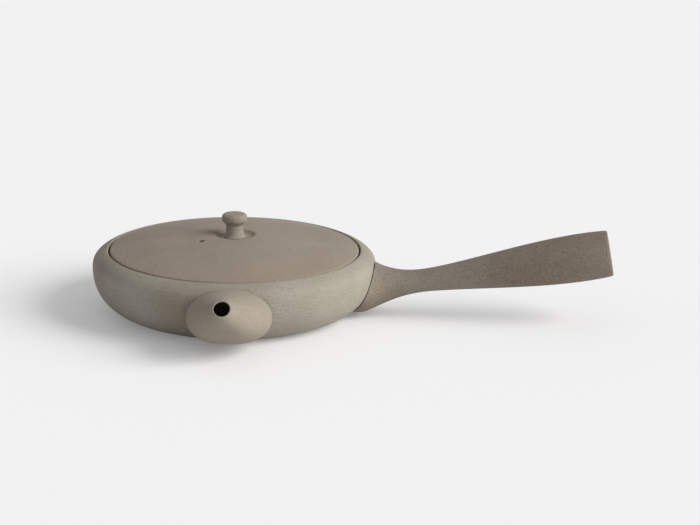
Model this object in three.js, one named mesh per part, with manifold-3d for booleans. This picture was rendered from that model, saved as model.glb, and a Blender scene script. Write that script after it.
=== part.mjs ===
// A flat side-handled teapot (kyusu) of unglazed stoneware, in millimetres, +Z up.
// The origin is the middle of the flat foot. The handle points along +X, the spout along -Y.
import * as THREE from "three";
import { mergeVertices } from "three/addons/utils/BufferGeometryUtils.js";
import Module from "manifold-3d";

const wasm = await Module();
wasm.setup();

// Bowl: a flattened round body with a bulge, a belly below it and a shoulder above it.
const BOWL_RADIUS = 62;
const BULGE_HEIGHT = 20.8;
const SHOULDER_CENTRE = 43.2; // radius at which the shoulder's curve would level out
const SHOULDER_RISE = 8.2;
const SHOULDER_POWER = 2.4;
const BELLY_CENTRE = 33;
const BELLY_DROP = 22.1; // more than the bulge's height, so the foot cuts the curve off flat
const BELLY_POWER = 2.34;
const BOWL_WALL = 3.2;
const FLOOR_THICKNESS = 3.6;

// Gallery: the recess in the rim that the lid lies in.
const GALLERY_RADIUS = 55.1;
const LEDGE_DEPTH = 3.2; // from the rim's crest down to the ledge
const LEDGE_WIDTH = 4.6;
const LEDGE_THICKNESS = 2.2;

// Lid: a domed plate with a locating flange below and a dimple for the knob.
const LID_CLEARANCE = 0.6;
const LID_RISE = 6.6;
const LID_THICKNESS = 3.8;
const FLANGE_CLEARANCE = 0.6;
const FLANGE_WALL = 2.6;
const FLANGE_DEPTH = 5;
const DIMPLE_RADIUS = 9.1;
const DIMPLE_FLOOR_RADIUS = 6.4;
const DIMPLE_DEPTH = 1.4;
const VENT_RADIUS = 1.5;
const VENT_REACH = 17.8; // from the lid's axis
const VENT_ANGLE = 218.5; // degrees round from +X

// Knob
const KNOB_HEIGHT = 10.6;
const KNOB_CAP_RADIUS = 5.6;
const KNOB_CAP_HEIGHT = 4.2;
const KNOB_TOP_RADIUS = 4.0;
const KNOB_NECK_RADIUS = 3.7;
const KNOB_FOOT_RADIUS = 5.1;

// Spout: it leaves the bowl's front wall level and turns up to a small round mouth.
const SPOUT_ROOT_X = 1.2;
const SPOUT_TIP_X = -0.4;
const SPOUT_ROOT_HEIGHT = 13.6;
const SPOUT_LENGTH = 23.4; // from the bowl's widest circle to the mouth's middle
const SPOUT_MOUTH_HEIGHT = 25.6;
const SPOUT_ROOT_INSET = 16; // how far inside the widest circle the spout is started, before trimming
const SPOUT_ROOT_HALF_WIDTH = 18;
const SPOUT_ROOT_HALF_HEIGHT = 11.6;
const MOUTH_RADIUS = 3.05;
const SPOUT_LIP = 0.95;
const SPOUT_WALL = 3;
const SPOUT_BELLY = 0.45; // how much squarer than an ellipse its underside is at the root

// Handle: a hollow thrown tube, open at its end.
const HANDLE_TURN = -5; // degrees, towards the spout
const HANDLE_LENGTH = 101.4; // from the bowl's widest circle
const HANDLE_ROOT_HEIGHT = 13.6;
const HANDLE_END_HEIGHT = 31.5;
const HANDLE_ROOT_HALF_WIDTH = 16;
const HANDLE_ROOT_HALF_HEIGHT = 12.4;
const HANDLE_NECK_RADIUS = 4.9;
const HANDLE_NECK_AT = 20.5; // from the bowl's widest circle
const HANDLE_SWELL_RADIUS = 10.5;
const HANDLE_SWELL_AT = 88;
const HANDLE_LIP_RADIUS = 10;
const HANDLE_WALL = 2.4;

// Strainer: a pierced half dome on the inside of the wall, over the opening to the spout.
const STRAINER_HALF_WIDTH = 13.5;
const STRAINER_REACH = 10.5;
const STRAINER_HALF_HEIGHT = 6.9;
const STRAINER_CLEARANCE = 1.1; // between the dome's top and the lid's flange
const STRAINER_WALL = 1.6;
const STRAINER_INSET = 11; // from the bowl's widest circle to the dome's middle
const STRAINER_HOLES = 56;
const STRAINER_HOLE_RADIUS = 0.65;
const OUTLET_HALF_WIDTH = 9.5;
const OUTLET_HALF_HEIGHT = 4.6;

const JOINT_GAP = 0.3; // the slip line between two pieces of clay
const ROUND = 64; // sides of the bowl and the lid
const FINE = 28; // sides of the small round pieces

const clay = new THREE.Color(0x9c9184);

// A power curve from the bulge: 0 is level with the bulge and 1 is at the curve's far end.
function powerCurve(centre, radius, rise, power, angle) {
  const across = Math.pow(Math.max(Math.cos(angle), 0), 2 / power);
  const along = Math.pow(Math.max(Math.sin(angle), 0), 2 / power);
  return new THREE.Vector2(centre + (radius - centre) * across, BULGE_HEIGHT + rise * along);
}

// The height of the shoulder's curve at a radius.
function shoulderHeight(radius) {
  const share = (radius - SHOULDER_CENTRE) / (BOWL_RADIUS - SHOULDER_CENTRE);
  return BULGE_HEIGHT + SHOULDER_RISE * Math.pow(1 - Math.pow(share, SHOULDER_POWER), 1 / SHOULDER_POWER);
}

// The angle on a power curve at which it has gone a share of its rise or of its width.
const angleAtRise = (share, power) => Math.asin(Math.pow(share, power / 2));
const angleAtWidth = (share, power) => Math.acos(Math.pow(share, power / 2));

const RIM_HEIGHT = shoulderHeight(GALLERY_RADIUS);
const LEDGE_HEIGHT = RIM_HEIGHT - LEDGE_DEPTH;
const LEDGE_RADIUS = GALLERY_RADIUS - LEDGE_WIDTH;
const LID_RADIUS = GALLERY_RADIUS - LID_CLEARANCE;
const LID_EDGE_HEIGHT = RIM_HEIGHT;
const LID_TOP = LID_EDGE_HEIGHT + LID_RISE;
const DIMPLE_FLOOR = LID_TOP - DIMPLE_DEPTH;
const STRAINER_HEIGHT = LEDGE_HEIGHT - FLANGE_DEPTH - STRAINER_CLEARANCE - STRAINER_HALF_HEIGHT;
const STRAINER_SETBACK = BOWL_RADIUS - STRAINER_INSET;

// Turns a profile of radius and height about Z.
function turned(profile, sides) {
  return new THREE.LatheGeometry(profile, sides).rotateX(Math.PI / 2);
}

// The outer outline from the foot to the rim, moved out by a gap.
function outerOutline(gap, topRadius) {
  const points = [];
  const foot = angleAtRise(BULGE_HEIGHT / BELLY_DROP, BELLY_POWER);
  const steps = 9;
  for (let i = 0; i <= steps; i++) {
    const angle = foot * (1 - i / steps);
    points.push(powerCurve(BELLY_CENTRE, BOWL_RADIUS, -BELLY_DROP, BELLY_POWER, angle));
  }
  points[0].y = 0;
  const rim = angleAtWidth((topRadius - SHOULDER_CENTRE) / (BOWL_RADIUS - SHOULDER_CENTRE), SHOULDER_POWER);
  for (let i = 1; i <= steps; i++) {
    points.push(powerCurve(SHOULDER_CENTRE, BOWL_RADIUS, SHOULDER_RISE, SHOULDER_POWER, (rim * i) / steps));
  }
  return points.map((p) => new THREE.Vector2(p.x + gap, p.y + (p.y < BULGE_HEIGHT ? -gap : gap)));
}

// The inner outline from the floor to the underside of the ledge, moved in by a gap.
function innerOutline(gap) {
  const radius = BOWL_RADIUS - BOWL_WALL;
  const drop = BULGE_HEIGHT - FLOOR_THICKNESS;
  const points = [];
  const steps = 8;
  for (let i = 0; i <= steps; i++) {
    const angle = (Math.PI / 2) * (1 - i / steps);
    points.push(powerCurve(BELLY_CENTRE, radius, -drop, BELLY_POWER, angle));
  }
  const under = LEDGE_HEIGHT - LEDGE_THICKNESS;
  points.push(new THREE.Vector2((radius + LEDGE_RADIUS) / 2 + 2.6, under - 0.4));
  points.push(new THREE.Vector2(LEDGE_RADIUS, under));
  return points.map((p) => new THREE.Vector2(p.x - gap, p.y + (p.y < BULGE_HEIGHT ? gap : -gap)));
}

// A closed loft through rings of equal length, with a flat fan at each end.
function loft(rings) {
  const sides = rings[0].length;
  const points = rings.flat();
  const faces = [];
  for (let i = 0; i + 1 < rings.length; i++) {
    for (let j = 0; j < sides; j++) {
      const a = i * sides + j;
      const b = i * sides + ((j + 1) % sides);
      faces.push(a, b, a + sides, b, b + sides, a + sides);
    }
  }
  const ends = [
    [rings[0], 0, true],
    [rings[rings.length - 1], (rings.length - 1) * sides, false],
  ];
  for (const [ring, first, flip] of ends) {
    const middle = points.length;
    points.push(ring.reduce((sum, p) => sum.add(p), new THREE.Vector3()).divideScalar(sides));
    for (let j = 0; j < sides; j++) {
      const a = first + j;
      const b = first + ((j + 1) % sides);
      if (flip) faces.push(middle, b, a);
      else faces.push(middle, a, b);
    }
  }
  return new THREE.BufferGeometry().setFromPoints(points).setIndex(faces);
}

// An oval ring round a centre: side is its half width's direction and up its half height's.
// A belly over 0 makes the lower half squarer than an ellipse.
function ring(centre, side, up, halfWidth, halfHeight, sides, belly = 0) {
  const points = [];
  for (let j = 0; j < sides; j++) {
    const t = (2 * Math.PI * j) / sides;
    const power = Math.sin(t) < 0 ? 2 / (2 + belly) : 1;
    const across = Math.sign(Math.cos(t)) * Math.pow(Math.abs(Math.cos(t)), power);
    const along = Math.sign(Math.sin(t)) * Math.pow(Math.abs(Math.sin(t)), power);
    points.push(centre.clone().addScaledVector(side, halfWidth * across).addScaledVector(up, halfHeight * along));
  }
  return points;
}

// A closed geometry as a solid that faces out.
function solid(geometry) {
  const plain = geometry.clone();
  plain.deleteAttribute("normal");
  plain.deleteAttribute("uv");
  const merged = mergeVertices(plain, 1e-4);
  const triVerts = new Uint32Array(merged.index.array);
  const build = () =>
    new wasm.Manifold(new wasm.Mesh({ numProp: 3, vertProperties: merged.attributes.position.array, triVerts }));
  const first = build();
  if (first.volume() > 0) return first;
  for (let i = 0; i < triVerts.length; i += 3) {
    [triVerts[i], triVerts[i + 1]] = [triVerts[i + 1], triVerts[i]];
  }
  return build();
}

// A solid as a geometry with its own normals.
function geometryOf(made) {
  const mesh = made.getMesh();
  const positions = new Float32Array(mesh.vertProperties);
  const geometry = new THREE.BufferGeometry();
  geometry.setAttribute("position", new THREE.BufferAttribute(positions, 3));
  geometry.setIndex(new THREE.BufferAttribute(new Uint32Array(mesh.triVerts), 1));
  geometry.computeVertexNormals();
  return geometry;
}

const root = new THREE.Group();

function add(name, made) {
  const material = new THREE.MeshStandardMaterial({ color: clay, roughness: 0.85, metalness: 0 });
  const mesh = new THREE.Mesh(geometryOf(made), material);
  mesh.name = name;
  root.add(mesh);
}

// The space that the bowl's outside fills, a slip line larger.
function bowlEnvelope() {
  const outline = outerOutline(JOINT_GAP, GALLERY_RADIUS);
  const ends = [outline[0].y, outline[outline.length - 1].y].map((height) => new THREE.Vector2(0, height));
  return solid(turned([ends[0], ...outline, ends[1]], ROUND));
}

// The space inside the bowl, a slip line smaller.
function chamber() {
  const outline = innerOutline(JOINT_GAP);
  const top = outline[outline.length - 1].y;
  const profile = [new THREE.Vector2(0, FLOOR_THICKNESS + JOINT_GAP), ...outline, new THREE.Vector2(0, top)];
  return solid(turned(profile, ROUND));
}

function outletCutter() {
  const side = new THREE.Vector3(1, 0, 0);
  const up = new THREE.Vector3(0, 0, 1);
  const at = (y) => new THREE.Vector3(SPOUT_ROOT_X, y, STRAINER_HEIGHT);
  const rings = [-STRAINER_SETBACK + 4, -BOWL_RADIUS - 4].map((y) =>
    ring(at(y), side, up, OUTLET_HALF_WIDTH, OUTLET_HALF_HEIGHT, FINE),
  );
  return solid(loft(rings));
}

function bowl() {
  const profile = [
    new THREE.Vector2(0, 0),
    ...outerOutline(0, GALLERY_RADIUS),
    new THREE.Vector2(GALLERY_RADIUS, LEDGE_HEIGHT),
    new THREE.Vector2(LEDGE_RADIUS, LEDGE_HEIGHT),
    ...innerOutline(0).reverse(),
    new THREE.Vector2(0, FLOOR_THICKNESS),
  ];
  return solid(turned(profile, ROUND)).subtract(outletCutter());
}

function strainer() {
  const dome = (shrink) =>
    solid(
      new THREE.SphereGeometry(1, 26, 16)
        .rotateX(Math.PI / 2)
        .scale(STRAINER_HALF_WIDTH - shrink, STRAINER_REACH - shrink, STRAINER_HALF_HEIGHT - shrink)
        .translate(SPOUT_ROOT_X, -STRAINER_SETBACK, STRAINER_HEIGHT),
    );
  let made = dome(0).subtract(dome(STRAINER_WALL)).intersect(chamber());
  // Holes fan out from the dome's middle on a sunflower pattern over the half that faces the bowl's inside.
  const goldenAngle = Math.PI * (3 - Math.sqrt(5));
  for (let i = 0; i < STRAINER_HOLES; i++) {
    const off = Math.sqrt((i + 0.5) / STRAINER_HOLES) * 0.78;
    const turn = i * goldenAngle;
    const way = new THREE.Vector3(off * Math.cos(turn), Math.sqrt(1 - off * off), off * Math.sin(turn));
    const target = new THREE.Vector3(
      way.x * STRAINER_HALF_WIDTH,
      way.y * STRAINER_REACH,
      way.z * STRAINER_HALF_HEIGHT,
    );
    const drill = new THREE.CylinderGeometry(STRAINER_HOLE_RADIUS, STRAINER_HOLE_RADIUS, 2 * STRAINER_WALL + 2, 6);
    drill.applyQuaternion(
      new THREE.Quaternion().setFromUnitVectors(new THREE.Vector3(0, 1, 0), target.clone().normalize()),
    );
    drill.translate(target.x + SPOUT_ROOT_X, target.y - STRAINER_SETBACK, target.z + STRAINER_HEIGHT);
    made = made.subtract(solid(drill));
  }
  return made;
}

// Spout stations from the root to the mouth: how far along, and the share of the root's size left.
const SPOUT_STATIONS = [
  [0, 1.0],
  [0.22, 1.0],
  [0.36, 0.965],
  [0.5, 0.875],
  [0.63, 0.74],
  [0.75, 0.58],
  [0.86, 0.41],
  [0.94, 0.29],
  [1, 0.222],
];

function spoutRings(wall) {
  const bendReach = BOWL_RADIUS + SPOUT_LENGTH * 0.555;
  const start = new THREE.Vector3(SPOUT_ROOT_X, -(BOWL_RADIUS - SPOUT_ROOT_INSET), SPOUT_ROOT_HEIGHT);
  const bend = new THREE.Vector3(SPOUT_ROOT_X, -bendReach, SPOUT_ROOT_HEIGHT + 1.2);
  const mouth = new THREE.Vector3(SPOUT_TIP_X, -(BOWL_RADIUS + SPOUT_LENGTH), SPOUT_MOUTH_HEIGHT);
  const path = new THREE.QuadraticBezierCurve3(start, bend, mouth);
  const tipRadius = MOUTH_RADIUS + SPOUT_LIP;
  return SPOUT_STATIONS.map(([along, share]) => {
    const tangent = path.getTangent(along);
    const side = new THREE.Vector3().crossVectors(tangent, new THREE.Vector3(0, 0, 1)).normalize();
    const up = new THREE.Vector3().crossVectors(side, tangent).normalize();
    const last = SPOUT_STATIONS[SPOUT_STATIONS.length - 1][1];
    const grow = (share - last) / (1 - last);
    const thick = wall ? SPOUT_LIP + (wall - SPOUT_LIP) * Math.min(1, grow * 4) : 0;
    const halfWidth = tipRadius + (SPOUT_ROOT_HALF_WIDTH - tipRadius) * grow - thick;
    const halfHeight = tipRadius + (SPOUT_ROOT_HALF_HEIGHT - tipRadius) * grow - thick;
    const centre = path.getPoint(along);
    if (wall && along === 1) centre.addScaledVector(tangent, 0.5);
    if (wall && along === 0) centre.addScaledVector(tangent, -1);
    return ring(centre, side, up, halfWidth, halfHeight, FINE, SPOUT_BELLY * grow);
  });
}

function spout() {
  return solid(loft(spoutRings(0)))
    .subtract(solid(loft(spoutRings(SPOUT_WALL))))
    .subtract(bowlEnvelope());
}

// The root flares from the neck's size to its own: distance from the widest circle, share of the flare.
const HANDLE_FLARE = [
  [-16, 1],
  [-7, 0.972],
  [-3.5, 0.874],
  [-1.5, 0.722],
  [0.5, 0.53],
  [4.5, 0.299],
  [10, 0.122],
  [15, 0.037],
];
// Past the neck it swells: share of the way from the neck to the swell, share of the swell.
const HANDLE_SWELLING = [
  [0.11, 0.07],
  [0.26, 0.23],
  [0.45, 0.49],
  [0.645, 0.74],
  [0.82, 0.92],
];

// Each station is the distance from the widest circle, the half width and the half height.
function handleStations() {
  const stations = [];
  for (const [at, share] of HANDLE_FLARE) {
    stations.push([
      at,
      HANDLE_NECK_RADIUS + (HANDLE_ROOT_HALF_WIDTH - HANDLE_NECK_RADIUS) * share,
      HANDLE_NECK_RADIUS + (HANDLE_ROOT_HALF_HEIGHT - HANDLE_NECK_RADIUS) * Math.pow(share, 0.85),
    ]);
  }
  stations.push([HANDLE_NECK_AT, HANDLE_NECK_RADIUS, HANDLE_NECK_RADIUS]);
  for (const [way, share] of HANDLE_SWELLING) {
    const radius = HANDLE_NECK_RADIUS + (HANDLE_SWELL_RADIUS - HANDLE_NECK_RADIUS) * share;
    stations.push([HANDLE_NECK_AT + (HANDLE_SWELL_AT - HANDLE_NECK_AT) * way, radius, radius]);
  }
  stations.push([HANDLE_SWELL_AT, HANDLE_SWELL_RADIUS, HANDLE_SWELL_RADIUS]);
  const late = (HANDLE_SWELL_AT + HANDLE_LENGTH * 1.3) / 2.3;
  const lateRadius = HANDLE_SWELL_RADIUS * 0.6 + HANDLE_LIP_RADIUS * 0.4;
  stations.push([late, lateRadius, lateRadius]);
  stations.push([HANDLE_LENGTH, HANDLE_LIP_RADIUS, HANDLE_LIP_RADIUS]);
  return stations;
}

function handleRings(wall) {
  const turn = THREE.MathUtils.degToRad(HANDLE_TURN);
  const out = new THREE.Vector3(Math.cos(turn), Math.sin(turn), 0);
  const side = new THREE.Vector3(-Math.sin(turn), Math.cos(turn), 0);
  const rise = HANDLE_END_HEIGHT - HANDLE_ROOT_HEIGHT;
  // The line leaves the bowl nearly level and settles to a steady climb past the neck.
  const height = (at) => {
    const share = Math.max(at / HANDLE_LENGTH, 0);
    return HANDLE_ROOT_HEIGHT + rise * (share - 0.11 * (1 - Math.exp(-share * 7)) + 0.11 * share);
  };
  const stations = handleStations();
  return stations.map(([at, wide, high], i) => {
    const last = i === stations.length - 1;
    const reach = wall && last ? at + 0.5 : wall && i === 0 ? at - 1 : at;
    const slope = height(at + 0.5) - height(at - 0.5);
    const tangent = out.clone().setZ(slope).normalize();
    const up = new THREE.Vector3().crossVectors(tangent, side).normalize();
    const centre = out.clone().multiplyScalar(BOWL_RADIUS + reach).setZ(height(reach));
    return ring(centre, side, up, wide - wall, high - wall, FINE);
  });
}

function handle() {
  return solid(loft(handleRings(0)))
    .subtract(solid(loft(handleRings(HANDLE_WALL))))
    .subtract(bowlEnvelope());
}

function lid() {
  const domeRadius = (LID_RADIUS ** 2 + LID_RISE ** 2) / (2 * LID_RISE);
  const top = (r) => LID_TOP - domeRadius + Math.sqrt(domeRadius ** 2 - r ** 2);
  const flangeRadius = LEDGE_RADIUS - FLANGE_CLEARANCE;
  const inside = flangeRadius - FLANGE_WALL;
  const underRise = LID_TOP - LID_THICKNESS - (LEDGE_HEIGHT + 1.2);
  const underRadius = (inside ** 2 + underRise ** 2) / (2 * underRise);
  const under = (r) => LID_TOP - LID_THICKNESS - underRadius + Math.sqrt(underRadius ** 2 - r ** 2);
  const profile = [];
  for (const share of [0, 0.35, 0.7, 1]) profile.push(new THREE.Vector2(inside * share, under(inside * share)));
  profile.push(new THREE.Vector2(inside, LEDGE_HEIGHT - FLANGE_DEPTH));
  profile.push(new THREE.Vector2(flangeRadius, LEDGE_HEIGHT - FLANGE_DEPTH));
  profile.push(new THREE.Vector2(flangeRadius, LEDGE_HEIGHT));
  profile.push(new THREE.Vector2(LID_RADIUS, LEDGE_HEIGHT));
  for (const r of [LID_RADIUS, 47, 38, 29, 20, 13, DIMPLE_RADIUS]) profile.push(new THREE.Vector2(r, top(r)));
  profile.push(new THREE.Vector2(DIMPLE_FLOOR_RADIUS + 0.9, DIMPLE_FLOOR + 0.35));
  profile.push(new THREE.Vector2(DIMPLE_FLOOR_RADIUS, DIMPLE_FLOOR));
  profile.push(new THREE.Vector2(0, DIMPLE_FLOOR));
  const angle = THREE.MathUtils.degToRad(VENT_ANGLE);
  const drill = new THREE.CylinderGeometry(VENT_RADIUS, VENT_RADIUS, 4 * LID_THICKNESS, 16)
    .rotateX(Math.PI / 2)
    .translate(VENT_REACH * Math.cos(angle), VENT_REACH * Math.sin(angle), LID_TOP - LID_THICKNESS);
  return solid(turned(profile, ROUND)).subtract(solid(drill));
}

function knob() {
  const base = DIMPLE_FLOOR;
  const capBase = base + KNOB_HEIGHT - KNOB_CAP_HEIGHT;
  const topHeight = base + KNOB_HEIGHT;
  const profile = [
    new THREE.Vector2(0, base),
    new THREE.Vector2(KNOB_FOOT_RADIUS, base),
    new THREE.Vector2(KNOB_FOOT_RADIUS - 0.75, base + 0.7),
    new THREE.Vector2(KNOB_NECK_RADIUS + 0.25, base + 1.9),
    new THREE.Vector2(KNOB_NECK_RADIUS, base + 3.6),
    new THREE.Vector2(KNOB_NECK_RADIUS, capBase - 0.4),
    new THREE.Vector2(KNOB_NECK_RADIUS + 0.6, capBase + 0.25),
    new THREE.Vector2(KNOB_CAP_RADIUS - 0.35, capBase + 1.35),
    new THREE.Vector2(KNOB_CAP_RADIUS, capBase + 2.4),
    new THREE.Vector2(KNOB_CAP_RADIUS - 0.35, topHeight - 0.9),
    new THREE.Vector2(KNOB_TOP_RADIUS + 0.6, topHeight - 0.2),
    new THREE.Vector2(KNOB_TOP_RADIUS, topHeight),
    new THREE.Vector2(0, topHeight),
  ];
  return solid(turned(profile, FINE));
}

add("bowl", bowl());
add("strainer", strainer());
add("spout", spout());
add("handle", handle());
add("lid", lid());
add("knob", knob());

export default root;
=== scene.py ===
# %% [markdown]
# # A flat side-handled teapot
# This lesson builds the looks of a small stoneware teapot over its CAD model.
# The CAD gives the frame: where each piece is, how big it is and what moves. Everything here is in metres.
# Six pieces are modelled: the bowl, the spout, the handle, the strainer, the lid and its knob.

# %% Load the frame
import math

import bpy
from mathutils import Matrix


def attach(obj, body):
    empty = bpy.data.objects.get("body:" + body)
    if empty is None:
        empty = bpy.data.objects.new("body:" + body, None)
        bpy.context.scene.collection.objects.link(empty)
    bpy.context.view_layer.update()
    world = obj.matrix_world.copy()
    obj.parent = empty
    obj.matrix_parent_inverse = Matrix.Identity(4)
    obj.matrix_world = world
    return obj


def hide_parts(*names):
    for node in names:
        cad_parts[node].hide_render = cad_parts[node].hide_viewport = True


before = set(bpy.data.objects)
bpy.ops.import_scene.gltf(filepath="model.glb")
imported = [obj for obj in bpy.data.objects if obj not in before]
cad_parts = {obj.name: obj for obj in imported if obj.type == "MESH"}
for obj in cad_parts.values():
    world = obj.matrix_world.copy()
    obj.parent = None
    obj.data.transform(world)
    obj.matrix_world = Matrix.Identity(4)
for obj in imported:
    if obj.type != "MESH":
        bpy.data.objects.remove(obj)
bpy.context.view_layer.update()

# %% [markdown]
# ## The camera
# The camera comes first, so that every look at the scene is from the same place.
# It stands about 0.9 m away and looks 15.6 degrees down, with a long lens that keeps the shapes true.
# A small roll matches the way the picture was taken.

# %% The camera
bpy.ops.object.camera_add(location=(0.05059, -0.88945, 0.26947))
camera = bpy.context.object
camera.name = "camera"
camera.data.lens = 108.26
camera.data.sensor_width = 36
camera.data.clip_end = 20
TILT = math.radians(74.44)
ROLL = math.radians(0.796)
camera.rotation_mode = "QUATERNION"
camera.rotation_quaternion = (
    math.cos(TILT / 2) * math.cos(ROLL / 2),
    math.sin(TILT / 2) * math.cos(ROLL / 2),
    -math.sin(TILT / 2) * math.sin(ROLL / 2),
    math.cos(TILT / 2) * math.sin(ROLL / 2),
)
bpy.context.scene.camera = camera
print("lens", round(camera.data.lens, 1), "mm")

# %% [markdown]
# ## Sizes
# These are the sizes of the pot. Most of them are used again below, where the bowl and the lid are shaped.

# %% Sizes
MM = 0.001
BOWL_RADIUS = 62 * MM
BULGE = 20.8 * MM
SHOULDER_CENTRE = 43.2 * MM
SHOULDER_RISE = 8.2 * MM
BELLY_CENTRE = 33 * MM
BELLY_DROP = 22.1 * MM
GALLERY = 55.1 * MM
LEDGE_HEIGHT = 24.55 * MM
LEDGE_RADIUS = 50.5 * MM
LID_RADIUS = 54.5 * MM
LID_TOP = 34.25 * MM
LID_RISE = 6.6 * MM
FLANGE_RADIUS = 49.9 * MM
DIMPLE_FLOOR = 32.85 * MM
SMOOTHING = 2
print("bowl", round(2 * BOWL_RADIUS, 3), "m wide")

# %% [markdown]
# ## Two ways of making a round piece
# A potter raises a wall ring by ring, and so do these two helpers.
# Each starts from a filled circle and extrudes its open edge again and again.
# The first keeps every ring flat and centred, so it makes turned pieces such as the bowl and the lid.
# The second moves, tilts and scales each ring along a path, so it makes the spout and the handle.
# The last ring is merged to one point, which closes the piece.

# %% Helpers for round pieces
def start_ring(name, sides, radius):
    bpy.ops.object.select_all(action="DESELECT")
    bpy.ops.mesh.primitive_circle_add(vertices=sides, radius=radius, fill_type="TRIFAN")
    made = bpy.context.object
    made.name = name
    made.data.name = name
    bpy.ops.object.mode_set(mode="EDIT")
    bpy.ops.mesh.select_mode(type="VERT")
    bpy.ops.mesh.select_all(action="SELECT")
    return made


def turn(angle, axis, centre):
    # The rotate operator takes its angle the other way round from the right-hand rule.
    bpy.ops.transform.rotate(value=-angle, orient_axis=axis, center_override=centre)


def pick_open_edge():
    bpy.ops.mesh.select_all(action="DESELECT")
    bpy.ops.mesh.select_mode(type="EDGE")
    bpy.ops.mesh.select_non_manifold(
        extend=False, use_wire=False, use_boundary=True, use_multi_face=False, use_non_contiguous=False, use_verts=False
    )


def close_up(made):
    bpy.ops.mesh.merge(type="CENTER")
    bpy.ops.mesh.select_all(action="SELECT")
    bpy.ops.mesh.remove_doubles(threshold=0.000001)
    bpy.ops.mesh.normals_make_consistent(inside=False)
    bpy.ops.object.mode_set(mode="OBJECT")
    bpy.ops.object.shade_smooth()
    return made


def smooth(made, levels):
    bpy.ops.object.select_all(action="DESELECT")
    made.select_set(True)
    bpy.context.view_layer.objects.active = made
    mod = made.modifiers.new("smooth", "SUBSURF")
    mod.levels = levels
    mod.render_levels = levels
    bpy.ops.object.modifier_apply(modifier=mod.name)
    bpy.ops.object.shade_smooth()


def turned(name, sides, profile, levels=SMOOTHING):
    radius, height = profile[0]
    made = start_ring(name, sides, radius)
    bpy.ops.transform.translate(value=(0, 0, height))
    pick_open_edge()
    for next_radius, next_height in profile[1:]:
        bpy.ops.mesh.extrude_edges_move(TRANSFORM_OT_translate={"value": (0, 0, next_height - height)})
        ratio = next_radius / radius
        bpy.ops.transform.resize(value=(ratio, ratio, 1), center_override=(0, 0, next_height))
        radius, height = next_radius, next_height
    close_up(made)
    smooth(made, levels)
    return made


def fill_belly(made, sides, power):
    """Widens the lower half of a unit circle, pair by pair, so that it is squarer than an ellipse."""
    bpy.ops.object.mode_set(mode="OBJECT")
    pairs = {}
    for vertex in made.data.vertices:
        angle = math.atan2(-vertex.co.z, abs(vertex.co.x))
        if 0.01 < angle < math.pi / 2 - 0.01 and vertex.co.length > 0.5:
            pairs.setdefault(round(angle * sides), []).append(vertex.index)
    for key, pair in pairs.items():
        angle = key / sides
        bpy.ops.object.mode_set(mode="EDIT")
        bpy.ops.mesh.select_all(action="DESELECT")
        bpy.ops.object.mode_set(mode="OBJECT")
        for index in pair:
            made.data.vertices[index].select = True
        bpy.ops.object.mode_set(mode="EDIT")
        across = math.cos(angle) ** (2 / power - 1)
        down = math.sin(angle) ** (2 / power - 1)
        bpy.ops.transform.resize(value=(across, 1, down), center_override=(0, 0, 0))
    print("widened", len(pairs), "pairs")
    bpy.ops.mesh.select_all(action="SELECT")


def tube(name, sides, stations, axis, levels=SMOOTHING, belly=2):
    """Each station is centre, tilt about axis, half width, half height and how far to round it off."""
    centre, tilt, wide, high = stations[0][:4]
    made = start_ring(name, sides, 1)
    # The circle is stood up so that it faces along the path, and is scaled to its first oval.
    if axis == "X":
        turn(math.pi / 2, "X", (0, 0, 0))
        if belly > 2:
            fill_belly(made, sides, belly)
        bpy.ops.transform.resize(value=(wide, 1, high), center_override=(0, 0, 0))
    else:
        turn(math.pi / 2, "Y", (0, 0, 0))
        bpy.ops.transform.resize(value=(1, wide, high), center_override=(0, 0, 0))
    bpy.ops.transform.translate(value=centre)
    turn(tilt, axis, centre)
    pick_open_edge()
    for next_centre, next_tilt, next_wide, next_high, rounding in stations[1:]:
        step = [b - a for a, b in zip(centre, next_centre)]
        bpy.ops.mesh.extrude_edges_move(TRANSFORM_OT_translate={"value": step})
        turn(-tilt, axis, next_centre)
        across, up = next_wide / wide, next_high / high
        size = (across, 1, up) if axis == "X" else (1, across, up)
        bpy.ops.transform.resize(value=size, center_override=next_centre)
        if rounding:
            bpy.ops.transform.tosphere(value=rounding)
        turn(next_tilt, axis, next_centre)
        centre, tilt, wide, high = next_centre, next_tilt, next_wide, next_high
    close_up(made)
    smooth(made, levels)
    return made


def cut(made, tool):
    """Cuts the tool's shape out of a piece, then deletes the tool."""
    bpy.ops.object.select_all(action="DESELECT")
    made.select_set(True)
    bpy.context.view_layer.objects.active = made
    mod = made.modifiers.new("cut", "BOOLEAN")
    mod.operation = "DIFFERENCE"
    mod.solver = "EXACT"
    mod.object = tool
    bpy.ops.object.modifier_apply(modifier=mod.name)
    bpy.ops.object.select_all(action="DESELECT")
    tool.select_set(True)
    bpy.ops.object.delete()


def settle(made, body, node):
    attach(made, body)
    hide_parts(node)
    print(made.name, len(made.data.vertices), "vertices")


# %% [markdown]
# ## The bowl
# The outline is two soft power curves that meet at the bulge.
# The belly runs down to a flat foot, and the shoulder runs up to a fine rounded rim.
# Inside the rim a short wall drops to the ledge that the lid lies on.
# The profile goes up the outside, over the rim and down the inside to the middle of the floor.
# Two rings close together make a tight corner after smoothing.

# %% The bowl
def shoulder(radius):
    share = (radius - SHOULDER_CENTRE) / (BOWL_RADIUS - SHOULDER_CENTRE)
    return BULGE + SHOULDER_RISE * (1 - share**2.4) ** (1 / 2.4)


def belly(turn, inset, drop):
    wide = BOWL_RADIUS - inset - BELLY_CENTRE
    across = math.cos(turn) ** (2 / 2.34)
    down = math.sin(turn) ** (2 / 2.34)
    return (BELLY_CENTRE + wide * across, BULGE - drop * down)


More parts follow.
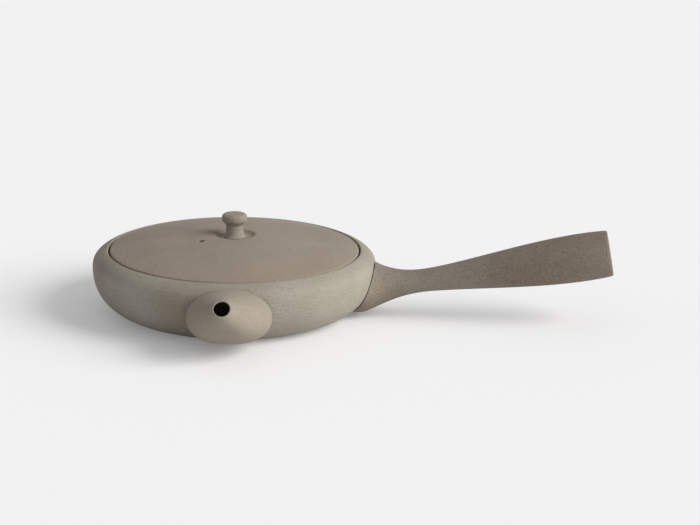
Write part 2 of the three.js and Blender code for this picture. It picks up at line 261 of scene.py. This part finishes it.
FOOT_TURN = math.asin((BULGE / BELLY_DROP) ** (2.34 / 2))
profile = [(20 * MM, 0), (40 * MM, 0), (44.6 * MM, 0)]
for i in range(12):
    profile.append(belly(FOOT_TURN * (0.985 - 0.985 * i / 11), 0, BELLY_DROP))
for radius in (61.8, 61.3, 60.5, 59.4, 58.2, 57.2, 56.4, 55.8):
    profile.append((radius * MM, shoulder(radius * MM)))
profile += [(55.45 * MM, 27.55 * MM), (55.18 * MM, 27.25 * MM), (GALLERY, 26.7 * MM), (GALLERY, 25.2 * MM)]
profile += [(GALLERY - 0.1 * MM, 24.7 * MM), (54.6 * MM, LEDGE_HEIGHT - 0.02 * MM), (51.2 * MM, LEDGE_HEIGHT - 0.02 * MM)]
profile += [(50.6 * MM, 24.3 * MM), (50.5 * MM, 23.6 * MM), (50.7 * MM, 22.7 * MM), (52.5 * MM, 22.2 * MM)]
profile += [(56.4 * MM, 21.6 * MM), (58.2 * MM, 20.2 * MM)]
for i in range(1, 11):
    profile.append(belly(math.pi / 2 * i / 11, 3.2 * MM, BULGE - 3.6 * MM))
profile += [(30 * MM, 3.6 * MM), (12 * MM, 3.6 * MM), (2 * MM, 3.6 * MM)]
bowl = turned("bowl_clay", 80, profile)

# %% [markdown]
# ## The outlet
# Behind the spout the wall has an oval opening, so that tea can leave the bowl.
# A scaled cylinder laid along Y is the cutter.

# %% The outlet
bpy.ops.object.select_all(action="DESELECT")
bpy.ops.mesh.primitive_cylinder_add(vertices=48, radius=1, depth=1)
outlet = bpy.context.object
bpy.ops.object.mode_set(mode="EDIT")
bpy.ops.mesh.select_all(action="SELECT")
turn(math.pi / 2, "X", (0, 0, 0))
bpy.ops.transform.resize(value=(9.4 * MM, 20 * MM, 4.5 * MM), center_override=(0, 0, 0))
bpy.ops.transform.translate(value=(1.2 * MM, -57 * MM, 11.4 * MM))
bpy.ops.object.mode_set(mode="OBJECT")
cut(bowl, outlet)
settle(bowl, "pot", "bowl")

# %% [markdown]
# ## The outline tool
# The spout and the handle are trimmed to the bowl with a hair's breadth to spare.
# That leaves the fine dark joint line. The tool for it is the bowl's own outline, a little larger.

# %% The outline tool
def bowl_outline():
    profile = [(20 * MM, -0.3 * MM), (44.6 * MM, -0.3 * MM)]
    for i in range(12):
        radius, height = belly(FOOT_TURN * (1 - i / 11), -0.3 * MM, BELLY_DROP)
        profile.append((radius, height - 0.25 * MM * (1 - i / 11)))
    for radius in (61.8, 61.3, 60.5, 59.4, 58.2, 57.2, 56.4, 55.8):
        profile.append((radius * MM + 0.25 * MM, shoulder(radius * MM) + 0.2 * MM))
    profile += [(40 * MM, 29 * MM), (10 * MM, 29 * MM)]
    return turned("outline", 80, profile)


print("the outline tool stands about 0.3 mm off the bowl")

# %% [markdown]
# ## The spout
# The spout is a fat cone that leaves the bowl level and turns up to a small round mouth.
# Its rings follow a curve with one bend. Each ring stands square to the curve.
# At the mouth the rings turn over a thin lip and run back down inside to the root.

# %% The spout
def spout_path(t):
    points = ((1.2, -46, 13.6), (1.2, -75, 14.8), (-0.4, -85.4, 25.6))
    weights = ((1 - t) ** 2, 2 * t * (1 - t), t * t)
    return tuple(sum(w * p[k] for w, p in zip(weights, points)) * MM for k in range(3))


def spout_station(t, share, thick, rounding=0):
    a = spout_path(max(t - 0.01, 0))
    b = spout_path(min(t + 0.01, 1))
    tilt = math.atan2(b[2] - a[2], -(b[1] - a[1]))
    grow = (share - 0.222) / (1 - 0.222)
    wide = (4 + 14 * grow - thick) * MM
    high = (4 + 7.6 * grow - thick) * MM
    return (spout_path(t), -tilt, wide, high, rounding)


OUTER = ((0, 1), (0.1, 1), (0.2, 0.995), (0.3, 0.985), (0.36, 0.965), (0.43, 0.925), (0.5, 0.875))
OUTER += ((0.57, 0.81), (0.63, 0.74), (0.69, 0.665), (0.75, 0.58), (0.81, 0.49), (0.86, 0.41), (0.9, 0.35), (0.94, 0.29), (0.97, 0.25), (0.99, 0.228))
stations = []
for t, share in OUTER:
    stations.append(spout_station(t, share, 0, {0.81: 0.1, 0.86: 0.15, 0.9: 0.25, 0.94: 0.5, 0.97: 1}.get(t, 0)))
stations.append(spout_station(0.999, 0.215, 0.25))
stations.append(spout_station(0.999, 0.215, 0.62))
INSIDE = ((0.985, 0.235, 0.9), (0.95, 0.28, 1.05), (0.9, 0.35, 1.15), (0.86, 0.41, 1.3), (0.81, 0.49, 1.6))
INSIDE += ((0.75, 0.58, 2), (0.69, 0.665, 2.4), (0.57, 0.81, 2.9), (0.43, 0.925, 2.9), (0.3, 0.985, 2.9), (0.1, 1, 2.9))
for t, share, thick in INSIDE:
    stations.append(spout_station(t, share, thick))
spout = tube("spout_clay", 40, stations, "X", belly=2.4)
cut(spout, bowl_outline())
settle(spout, "pot", "spout")

# %% [markdown]
# ## The handle
# The handle is a hollow tube that flares where it meets the bowl, narrows to a neck and swells to its end.
# It climbs as it goes out. Its end is open, with a thin rounded lip.
# It is built straight along X, and then turned five degrees towards the spout about the bowl's axis.

# %% The handle
def climb(s):
    share = max((s - 62) / 101, 0)
    return 13.6 + 17.9 * (share - 0.11 * (1 - math.exp(-share * 7)) + 0.11 * share)


def handle_station(s, wide, high):
    slope = climb(s + 0.5) - climb(s - 0.5)
    return ((s * MM, 0, climb(s) * MM), -math.atan(slope), wide * MM, high * MM, 0)


SHAPE = [(50, 16.4, 12.6), (56, 15.6, 12.2), (58.5, 14.6, 11.7), (60.5, 12.9, 10.8), (62.5, 10.8, 9.6), (66.5, 8.2, 7.9)]
SHAPE += [(72, 6.25, 6.1), (77, 5.3, 5.3), (82.5, 4.9, 4.9), (90, 5.3, 5.3), (100, 6.2, 6.2), (113, 7.65, 7.65)]
SHAPE += [(126, 9.05, 9.05), (138, 10.05, 10.05), (150, 10.48, 10.48), (157, 10.34, 10.34), (161.4, 10.1, 10.1)]
stations = [handle_station(*at) for at in SHAPE]
stations += [handle_station(163, 9.9, 9.9), handle_station(163.35, 9.5, 9.5), handle_station(163.35, 8.2, 8.2)]
stations += [handle_station(162.9, 7.7, 7.7)]
stations += [handle_station(s, wide - 2.4, high - 2.4) for s, wide, high in SHAPE[::-1] if 62 < s < 160]
handle = tube("handle_clay", 40, stations, "Y")
bpy.ops.object.mode_set(mode="EDIT")
bpy.ops.mesh.select_all(action="SELECT")
turn(math.radians(-5), "Z", (0, 0, 0))
bpy.ops.object.mode_set(mode="OBJECT")

# %% [markdown]
# The handle's root is trimmed with the same outline tool as the spout's.

# %% Trim the handle's root
cut(handle, bowl_outline())
settle(handle, "pot", "handle")

# %% [markdown]
# ## The strainer
# A thin clay dome on the inside of the wall holds the leaves back. It isn't seen until the lid is off.
# It is half of a flattened ball with a wall, pierced with holes in a sunflower pattern.

# %% The strainer
def ball(shrink):
    bpy.ops.object.select_all(action="DESELECT")
    bpy.ops.mesh.primitive_uv_sphere_add(segments=48, ring_count=24, radius=1)
    made = bpy.context.object
    bpy.ops.object.mode_set(mode="EDIT")
    bpy.ops.mesh.select_all(action="SELECT")
    size = ((13.4 - shrink) * MM, (10.4 - shrink) * MM, (6.85 - shrink) * MM)
    bpy.ops.transform.resize(value=size, center_override=(0, 0, 0))
    bpy.ops.transform.translate(value=(1.2 * MM, -51 * MM, 11.4 * MM))
    bpy.ops.object.mode_set(mode="OBJECT")
    return made


strainer = ball(0)
strainer.name = "strainer_clay"
strainer.data.name = "strainer_clay"
inside = ball(1.6)
cut(strainer, inside)
bpy.ops.object.select_all(action="DESELECT")
bpy.ops.mesh.primitive_cube_add(size=1)
wall = bpy.context.object
bpy.ops.object.mode_set(mode="EDIT")
bpy.ops.mesh.select_all(action="SELECT")
bpy.ops.transform.resize(value=(0.06, 0.02, 0.06), center_override=(0, 0, 0))
bpy.ops.transform.translate(value=(0, -0.0648, 0.01))
bpy.ops.object.mode_set(mode="OBJECT")
cut(strainer, wall)
drills = []
for i in range(56):
    off = math.sqrt((i + 0.5) / 56) * 0.78
    around = i * math.pi * (3 - math.sqrt(5))
    way = (off * math.cos(around) * 13.5, math.sqrt(1 - off * off) * 10.5, off * math.sin(around) * 6.9)
    length = math.sqrt(sum(w * w for w in way))
    bpy.ops.object.select_all(action="DESELECT")
    bpy.ops.mesh.primitive_cylinder_add(vertices=12, radius=0.62 * MM, depth=5 * MM)
    drill = bpy.context.object
    drill.location = ((way[0] + 1.2) * MM, (way[1] - 51) * MM, (way[2] + 11.4) * MM)
    drill.rotation_euler = (0, math.acos(way[2] / length), math.atan2(way[1], way[0]))
    drills.append(drill)
bpy.ops.object.select_all(action="DESELECT")
for drill in drills:
    drill.select_set(True)
bpy.context.view_layer.objects.active = drills[0]
bpy.ops.object.join()
drills = bpy.context.object
bpy.ops.object.transform_apply(location=True, rotation=True, scale=True)
cut(strainer, drills)
settle(strainer, "pot", "strainer")

# %% [markdown]
# ## The lid
# The lid is a shallow dome with a dimple in the middle. Its edge leaves a dark hairline inside the rim.
# Below, a flange keeps it centred. A small vent lets air in as the tea is poured.

# %% The lid
DOME = (LID_RADIUS**2 + LID_RISE**2) / (2 * LID_RISE)


def dome(radius):
    return LID_TOP - DOME + math.sqrt(DOME**2 - radius**2)


profile = [(10 * MM, 30.0 * MM), (25 * MM, 29.0 * MM), (38 * MM, 27.3 * MM), (45.5 * MM, 25.9 * MM), (46.9 * MM, 25.2 * MM)]
profile += [(47.3 * MM, 24.3 * MM), (47.35 * MM, 22 * MM), (47.4 * MM, 20 * MM), (47.7 * MM, 19.6 * MM)]
profile += [(49.4 * MM, 19.6 * MM), (49.8 * MM, 20 * MM), (49.85 * MM, 22 * MM), (49.85 * MM, 24.2 * MM)]
profile += [(50.2 * MM, 24.56 * MM), (53.6 * MM, 24.56 * MM), (54.3 * MM, 24.8 * MM), (54.48 * MM, 25.4 * MM)]
profile += [(54.48 * MM, 26.6 * MM), (54.42 * MM, 27.2 * MM), (54.2 * MM, dome(54.2 * MM) - 0.06 * MM)]
profile += [(r * MM, dome(r * MM)) for r in (53.6, 51, 47, 42, 36, 30, 24, 18, 13, 10.4, 9.5)]
profile += [(9.06 * MM, 33.95 * MM), (8.5 * MM, 33.6 * MM), (7.6 * MM, 33.08 * MM), (6.7 * MM, 32.88 * MM)]
profile += [(5.4 * MM, DIMPLE_FLOOR), (2 * MM, DIMPLE_FLOOR)]
lid = turned("lid_clay", 80, profile)
bpy.ops.object.select_all(action="DESELECT")
bpy.ops.mesh.primitive_cylinder_add(vertices=40, radius=1.5 * MM, depth=14 * MM)
vent = bpy.context.object
bpy.ops.object.mode_set(mode="EDIT")
bpy.ops.mesh.select_all(action="SELECT")
VENT = math.radians(218.5)
bpy.ops.transform.translate(value=(17.8 * MM * math.cos(VENT), 17.8 * MM * math.sin(VENT), 31 * MM))
bpy.ops.object.mode_set(mode="OBJECT")
cut(lid, vent)
settle(lid, "lid", "lid")

# %% [markdown]
# ## The knob
# The knob is a small mushroom. It has a flared foot, a narrow neck and a cap with a flat top.

# %% The knob
profile = [(2.5, 32.87), (4.75, 32.87), (5.05, 32.95), (4.8, 33.3), (4.3, 33.9), (3.95, 34.8), (3.78, 36), (3.72, 37.4)]
profile += [(3.85, 38.5), (4.15, 39), (4.9, 39.35), (5.4, 40.1), (5.6, 41.1), (5.58, 41.9), (5.3, 42.6)]
profile += [(4.8, 43.1), (4.1, 43.35), (3.2, 43.38), (1.2, 43.38)]
knob = turned("knob_clay", 40, [(r * MM, z * MM) for r, z in profile])
settle(knob, "lid", "knob")

# %% [markdown]
# ## Clay
# The clay is unglazed, so it is rough and matt. Its colour drifts in soft clouds, as the fire left it.
# Fine sand shows as light and dark grains, and as a grainy bump. Turned pieces also carry faint throwing lines.

# %% Clay
def clay(name, pale, deep, lines, grain, warmth):
    made = bpy.data.materials.new(name)
    made.use_nodes = True
    nodes, links = made.node_tree.nodes, made.node_tree.links
    shader = nodes["Principled BSDF"]
    where = nodes.new("ShaderNodeTexCoord")

    def noise(scale, detail, rough=0.5):
        made_noise = nodes.new("ShaderNodeTexNoise")
        made_noise.inputs["Scale"].default_value = scale
        made_noise.inputs["Detail"].default_value = detail
        made_noise.inputs["Roughness"].default_value = rough
        links.new(where.outputs["Object"], made_noise.inputs["Vector"])
        return made_noise.outputs["Fac"]

    def ramp(source, low, high, first, last):
        made_ramp = nodes.new("ShaderNodeMapRange")
        made_ramp.inputs["From Min"].default_value = low
        made_ramp.inputs["From Max"].default_value = high
        made_ramp.inputs["To Min"].default_value = first
        made_ramp.inputs["To Max"].default_value = last
        links.new(source, made_ramp.inputs["Value"])
        return made_ramp.outputs["Result"]

    def mix(factor, a, b, kind="MIX"):
        made_mix = nodes.new("ShaderNodeMix")
        made_mix.data_type = "RGBA"
        made_mix.blend_type = kind
        for socket, value in ((0, factor), (6, a), (7, b)):
            if hasattr(value, "is_linked"):
                links.new(value, made_mix.inputs[socket])
            else:
                made_mix.inputs[socket].default_value = value
        return made_mix.outputs[2]

    clouds = ramp(noise(16, 4, 0.55), 0.35, 0.65, 0, 1)
    colour = mix(clouds, (*deep, 1), (*pale, 1))
    flash = ramp(noise(11, 3, 0.6), 0.48, 0.66, 0, warmth)
    colour = mix(flash, colour, (deep[0] * 0.98, deep[1] * 0.86, deep[2] * 0.76, 1))
    dark_sand = ramp(noise(1250, 3, 0.75), 0.55, 0.68, 0, min(0.38 * grain, 0.9))
    colour = mix(dark_sand, colour, (deep[0] * 0.4, deep[1] * 0.38, deep[2] * 0.36, 1))
    pale_sand = ramp(noise(1500, 3, 0.75), 0.56, 0.7, 0, min(0.36 * grain, 0.9))
    colour = mix(pale_sand, colour, (min(pale[0] * 1.5, 0.9), min(pale[1] * 1.5, 0.9), min(pale[2] * 1.5, 0.9), 1))
    links.new(colour, shader.inputs["Base Color"])
    links.new(ramp(noise(900, 3), 0.3, 0.7, 0.78, 0.95), shader.inputs["Roughness"])
    shader.inputs["Specular IOR Level"].default_value = 0.25

    sand = nodes.new("ShaderNodeBump")
    sand.inputs["Strength"].default_value = min(0.55 * grain, 1)
    sand.inputs["Distance"].default_value = 0.00018
    links.new(noise(1700, 5, 0.7), sand.inputs["Height"])
    normal = sand.outputs["Normal"]
    if lines:
        wave = nodes.new("ShaderNodeTexWave")
        wave.wave_type = lines
        if lines == "RINGS":
            wave.rings_direction = "Z"
        else:
            wave.bands_direction = "Z"
        wave.inputs["Scale"].default_value = 190
        wave.inputs["Distortion"].default_value = 3.5
        wave.inputs["Detail"].default_value = 4
        wave.inputs["Detail Scale"].default_value = 0.4
        links.new(where.outputs["Object"], wave.inputs["Vector"])
        thrown = nodes.new("ShaderNodeBump")
        thrown.inputs["Strength"].default_value = 0.06 if lines == "RINGS" else 0.16
        thrown.inputs["Distance"].default_value = 0.0003
        links.new(wave.outputs["Fac"], thrown.inputs["Height"])
        links.new(normal, thrown.inputs["Normal"])
        normal = thrown.outputs["Normal"]
    links.new(normal, shader.inputs["Normal"])
    return made


PALE = (0.355, 0.335, 0.282)
DEEP = (0.25, 0.215, 0.175)
FINISHES = (
    (bowl, "BANDS", PALE, DEEP, 1.3, 0.2),
    (spout, None, (0.335, 0.298, 0.245), (0.265, 0.232, 0.187), 1.0, 0.25),
    (handle, None, (0.27, 0.243, 0.2), (0.17, 0.13, 0.104), 1.9, 0.4),
    (strainer, None, PALE, DEEP, 1.0, 0.2),
    (lid, "RINGS", (0.315, 0.268, 0.223), (0.252, 0.211, 0.173), 1.1, 0.4),
    (knob, "BANDS", (0.34, 0.315, 0.26), (0.24, 0.205, 0.16), 2.2, 0.2),
)
for piece, lines, pale, deep, grain, warmth in FINISHES:
    piece.data.materials.clear()
    piece.data.materials.append(clay(piece.name, pale, deep, lines, grain, warmth))
    print(piece.name, "lines", lines)

# %% [markdown]
# ## Floor and light
# The pot stands on a pale floor that runs out past the picture.
# To the camera the floor also glows a little, so that it looks white and its shadow stays soft.
# The glow isn't seen by other rays, so it puts no light on the pot.
# A broad warm sun low on the right shapes the pot, and the sky fills the dark side.

# %% Floor and light
GLOSS_OR_EYE = ("Is Camera Ray", "Is Glossy Ray", "Is Transmission Ray")


def seen_directly(tree):
    """A value that is 1 for the rays that show the backdrop, and 0 for those that light the pot."""
    path = tree.nodes.new("ShaderNodeLightPath")
    total = path.outputs[GLOSS_OR_EYE[0]]
    for name in GLOSS_OR_EYE[1:]:
        larger = tree.nodes.new("ShaderNodeMath")
        larger.operation = "MAXIMUM"
        tree.links.new(total, larger.inputs[0])
        tree.links.new(path.outputs[name], larger.inputs[1])
        total = larger.outputs[0]
    return total


bpy.ops.object.select_all(action="DESELECT")
bpy.ops.mesh.primitive_plane_add(size=12, location=(0, 0, 0))
floor = bpy.context.object
floor.name = "floor"
pale_floor = bpy.data.materials.new("floor")
pale_floor.use_nodes = True
tree = pale_floor.node_tree
base = tree.nodes["Principled BSDF"]
base.inputs["Base Color"].default_value = (0.94, 0.94, 0.95, 1)
base.inputs["Roughness"].default_value = 0.9
glow = tree.nodes.new("ShaderNodeEmission")
glow.inputs["Color"].default_value = (0.97, 0.97, 0.975, 1)
glow.inputs["Strength"].default_value = 1
share = tree.nodes.new("ShaderNodeMath")
share.operation = "MULTIPLY"
share.inputs[1].default_value = 0.18
tree.links.new(seen_directly(tree), share.inputs[0])
blend = tree.nodes.new("ShaderNodeMixShader")
tree.links.new(share.outputs[0], blend.inputs[0])
tree.links.new(base.outputs[0], blend.inputs[1])
tree.links.new(glow.outputs[0], blend.inputs[2])
tree.links.new(blend.outputs[0], tree.nodes["Material Output"].inputs["Surface"])
floor.data.materials.append(pale_floor)

world = bpy.data.worlds.new("studio")
bpy.context.scene.world = world
world.use_nodes = True
tree = world.node_tree
sky = tree.nodes["Background"]
sky.inputs["Color"].default_value = (0.97, 0.98, 1.0, 1)
sky.inputs["Strength"].default_value = 0.42
backdrop = tree.nodes.new("ShaderNodeBackground")
backdrop.inputs["Color"].default_value = (0.88, 0.88, 0.885, 1)
blend = tree.nodes.new("ShaderNodeMixShader")
tree.links.new(seen_directly(tree), blend.inputs[0])
tree.links.new(sky.outputs[0], blend.inputs[1])
tree.links.new(backdrop.outputs[0], blend.inputs[2])
tree.links.new(blend.outputs[0], tree.nodes["World Output"].inputs["Surface"])


bpy.ops.object.light_add(type="SUN", location=(1.3, -0.35, 0.78))
key = bpy.context.object
key.name = "key"
key.data.energy = 3.2
key.data.angle = math.radians(40)
key.data.color = (1.0, 0.985, 0.955)
key.rotation_euler = (math.radians(60), 0, math.radians(74))

scene = bpy.context.scene
scene.view_settings.view_transform = "Standard"
